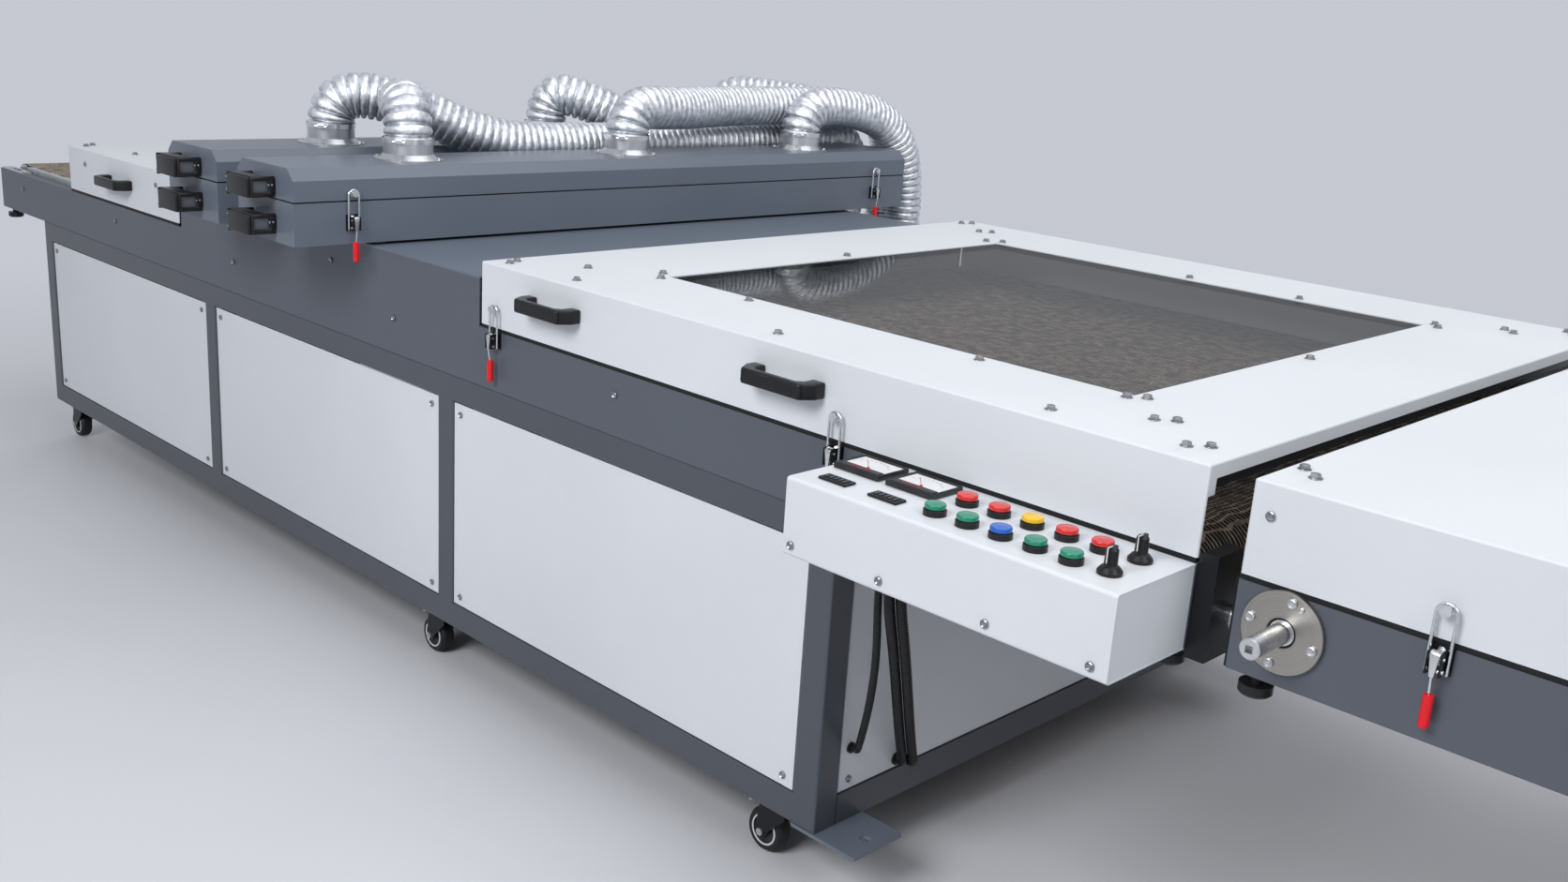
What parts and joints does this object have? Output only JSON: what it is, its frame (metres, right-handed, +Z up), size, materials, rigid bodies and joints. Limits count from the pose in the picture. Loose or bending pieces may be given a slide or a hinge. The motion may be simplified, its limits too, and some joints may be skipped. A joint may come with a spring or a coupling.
{
  "type": "uv curing machine",
  "caption": "Long conveyor curing machine with hinged hoods, lamp housings, exhaust ducts, a push button box and a framed base on castors, joined to an outlet conveyor.",
  "frame": {"origin": "on the floor, under the middle of the whole machine's length and depth", "axes": "+X along the belt towards the outlet, +Y away from the operator's side, +Z up"},
  "size_m": [5.819, 2.027, 1.1253],
  "materials": {
    "frame paint": "satin powder coat, dark slate blue grey",
    "channel paint": "satin powder coat, dark slate blue grey",
    "cover paint": "fine textured powder coat, light cool grey",
    "lamp paint": "satin powder coat, dark slate blue grey",
    "zinc steel": "zinc plated",
    "castor tyre": "solid dark tyre",
    "castor wheel": "moulded",
    "belt mesh": "coated open mesh, brown black",
    "turned steel": "turned and polished",
    "black steel": "black oxide",
    "black plastic": "moulded black",
    "red grip": "red sleeve",
    "button caps": "coloured lens caps",
    "seal rubber": "black gasket",
    "window glass": "tinted heat resistant glass",
    "duct foil": "corrugated foil",
    "connector black": "moulded heavy connector"
  },
  "bodies": {
    "root": {"side_frames": "frame paint", "cross_rails": "frame paint", "anchor_plates": "frame paint", "side_channels": "channel paint", "lamp_deck": "channel paint", "base_panels": "cover paint", "control_box": "cover paint", "control_box_ends": "cover paint", "lamp_housings": "lamp paint", "lamp_lids": "lamp paint", "castor_forks": "zinc steel", "castor_fittings": "zinc steel", "tension_plates": "zinc steel", "hinge_leaves": "zinc steel", "slider_beds": "zinc steel", "castor_tyres": "castor tyre", "castor_wheels": "castor wheel", "mesh_belts": "belt mesh", "belt_rollers": "turned steel", "shaft_flange": "turned steel", "tie_rods": "turned steel", "latch_levers": "turned steel", "lamp_bails": "turned steel", "joint_brackets": "black steel", "end_bearings": "black steel", "latch_bodies": "black steel", "levelling_feet": "black plastic", "panel_instruments": "black plastic", "button_bezels": "black plastic", "conduit_fittings": "black plastic", "conduit_thin": "black plastic", "conduit_thick_1": "black plastic", "conduit_thick_2": "black plastic", "latch_grips": "red grip", "button_caps": "button caps", "rubber_seals": "seal rubber", "exhaust_duct_1": "duct foil", "exhaust_duct_2": "duct foil", "exhaust_duct_3": "duct foil", "duct_collars": "duct foil", "lamp_connectors": "connector black"},
    "main cover": {"main_hood": "cover paint", "window_pane": "window glass", "outlet_curtain": "black steel", "main_hood_handles": "black plastic", "main_hood_bails": "turned steel"},
    "left cover": {"left_hood": "cover paint", "left_hood_handle": "black plastic"},
    "outlet cover": {"outlet_cover": "cover paint", "outlet_cover_bails": "turned steel"},
    "speed knob left": {"speed_knob_1": "black plastic"},
    "speed knob right": {"speed_knob_2": "black plastic"}
  },
  "joints": [
    {"name": "main cover hinge", "type": "hinge", "parent": "root", "child": "main cover", "pos_m": [0.2305, 0.6055, 0.7235], "axis": [-1, 0, 0], "range_deg": [0, 75]},
    {"name": "left cover hinge", "type": "hinge", "parent": "root", "child": "left cover", "pos_m": [-2.0665, 0.6055, 0.7235], "axis": [-1, 0, 0], "range_deg": [0, 75]},
    {"name": "outlet cover hinge", "type": "hinge", "parent": "root", "child": "outlet cover", "pos_m": [1.7355, 0.6055, 0.7235], "axis": [-1, 0, 0], "range_deg": [0, 75]},
    {"name": "left knob turn", "type": "hinge", "parent": "root", "child": "speed knob left", "pos_m": [0.9105, -0.8415, 0.72], "axis": [0, 0, -1], "range_deg": [0, 270]},
    {"name": "right knob turn", "type": "hinge", "parent": "root", "child": "speed knob right", "pos_m": [0.9115, -0.9065, 0.72], "axis": [0, 0, -1], "range_deg": [0, 270]}
  ]
}
